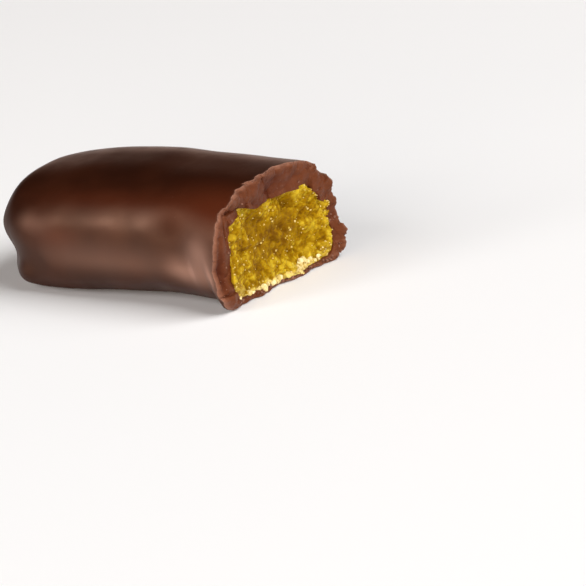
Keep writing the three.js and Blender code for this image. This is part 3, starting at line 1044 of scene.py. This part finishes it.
def makeCrumbs():
    draw = np.random.default_rng(crumbs["seed"])
    form = bmesh.new()
    bmesh.ops.create_icosphere(form, subdivisions=1, radius=1)
    for vert in form.verts:
        vert.co *= draw.uniform(*crumbs["unevenness"])
    form.verts.index_update()
    angles, shares, largest = [], [], []
    for angleRange, shareRange, size, number in crumbs["groups"]:
        angles.append(draw.uniform(*angleRange, number))
        shares.append(draw.uniform(*shareRange, number))
        largest.append(np.full(number, size))
    points, _ = brokenBand(np.concatenate(angles) * degree, np.concatenate(shares))
    sizes = randomSizes(draw, crumbs, np.concatenate(largest))
    points[:, 2] = np.maximum(points[:, 2], sizes.max(1) * crumbs["clearance"])
    turns, tones = randomTurns(draw, len(points)), draw.uniform(0, 1, len(points))
    return scatter("chocolate_crumbs", form, points, sizes, turns, tones, crumbMaterial)


chocolateCrumbs = makeCrumbs()
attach(chocolateCrumbs, "root")
print("chocolate crumbs made")


def towards(azimuth, elevation):  # azimuth runs round from the near side towards the broken end
    azimuth, elevation = azimuth * degree, elevation * degree
    level = math.cos(elevation)
    return Vector((math.sin(azimuth) * level, -math.cos(azimuth) * level, math.sin(elevation)))


# The camera stands where the photograph was taken from.
photoView = {
    "azimuth": 33.6,
    "elevation": 20.31,
    "roll": 7.69,
    "lens": 150.0,
    "sensor": 36.0,
    "clip": (0.01, 50),  # metres
    "imageSide": 586,
    "pixelSize": 0.1,  # one pixel at the anchor
    "anchor": (2.56, 0.27, 5.0),
    "anchorPixel": (179.6, 226.9),
}


def makeCamera():
    azimuth, roll = photoView["azimuth"] * degree, photoView["roll"] * degree
    back = towards(photoView["azimuth"], photoView["elevation"])
    level = Vector((math.cos(azimuth), math.sin(azimuth), 0))
    upright = back.cross(level)
    right = level * math.cos(roll) - upright * math.sin(roll)
    up = upright * math.cos(roll) + level * math.sin(roll)
    middle = photoView["imageSide"] / 2
    pixel = photoView["pixelSize"]
    distance = photoView["lens"] / photoView["sensor"] * photoView["imageSide"] * pixel
    pixelX, pixelY = photoView["anchorPixel"]
    target = Vector(photoView["anchor"])
    target += right * (middle - pixelX) * pixel
    target -= up * (middle - pixelY) * pixel
    data = bpy.data.cameras.new("photoCamera")
    data.lens, data.sensor_width = photoView["lens"], photoView["sensor"]
    data.clip_start, data.clip_end = photoView["clip"]
    camera = intoScene("photoCamera", data)
    standing = Matrix.Translation((target + back * distance) * milli)
    camera.matrix_world = standing @ Matrix((right, up, back)).transposed().to_4x4()
    bpy.context.scene.camera = camera


makeCamera()

studio = {  # metres and degrees
    "floorShader": {"Base Color": (0.90, 0.90, 0.90, 1.0), "Roughness": 0.6},
    "floorRadius": 4.0,
    "floorSides": 96,
    "floorDrop": -1e-5,  # just under the piece
    "backHorizon": (2.05, 1.32, 1.05),
    "sideHorizon": (0.18, 0.12, 0.09),
    "zenith": (0.012, 0.006, 0.004),
    "behind": (0.58, 0.88),  # where the back horizon starts and is full, and the sky above the horizon
    "above": (0.02, 0.22),
    "lampDistance": 1.5,
    "warmGreen": 0.6,  # warmth takes away blue, and this share of it from the green
    "lamps": [  # name, azimuth, elevation, width, height, brightness, warmth
        ("lowPanel", 4, 5, 1.8, 0.26, 11.8, 0.22),
        ("frontPanel", 12, 20, 1.2, 0.3, 2.6, 0.2),
        ("leftPanel", -36.5, 18, 0.42, 0.40, 11.0, 0.07),
        ("highPanel", -28, 36, 0.9, 0.5, 4.6, 0),
        ("rightPanel", 101, 44, 1.3, 1.2, 6.2, 0),
    ],
}


def makeStudio():
    floorMesh = bpy.data.meshes.new("floor")
    sides, drop = studio["floorSides"], Vector((0, 0, studio["floorDrop"]))
    rim = [towards(360 * k / sides, 0) * studio["floorRadius"] + drop for k in range(sides)]
    floorMesh.from_pydata(rim, [], [list(range(sides))])
    floorMesh.materials.append(newMaterial("paleTable", studio["floorShader"])[0])
    floor = intoScene("floor", floorMesh)
    for name, azimuth, elevation, width, height, brightness, warmth in studio["lamps"]:
        lamp = bpy.data.lights.new(name, "AREA")
        lamp.shape, lamp.size, lamp.size_y = "RECTANGLE", width, height
        lamp.energy = brightness * math.pi * width * height
        lamp.color = (1, 1 - studio["warmGreen"] * warmth, 1 - warmth)
        holder = intoScene(name, lamp)
        away = towards(azimuth, elevation)
        facing = away.to_track_quat("Z", "Y").to_matrix().to_4x4()
        holder.matrix_world = Matrix.Translation(away * studio["lampDistance"]) @ facing
        holder.visible_camera = False
    world = bpy.data.worlds.new("studio")
    bpy.context.scene.world = world
    world.use_nodes = True
    tree = world.node_tree
    parts = addNode(tree, "SeparateXYZ", {0: addNode(tree, "TexCoord", {})["Generated"]})
    behind = spreadOut(tree, parts["Y"], *studio["behind"])
    horizon = mixColours(tree, behind, studio["sideHorizon"], studio["backHorizon"])
    sky = mixColours(tree, spreadOut(tree, parts["Z"], *studio["above"]), horizon, studio["zenith"])
    feed(tree, tree.nodes["Background"].inputs["Color"], sky)


makeStudio()
bpy.context.scene.view_settings.view_transform = "Standard"
print("camera, floor and lights set")
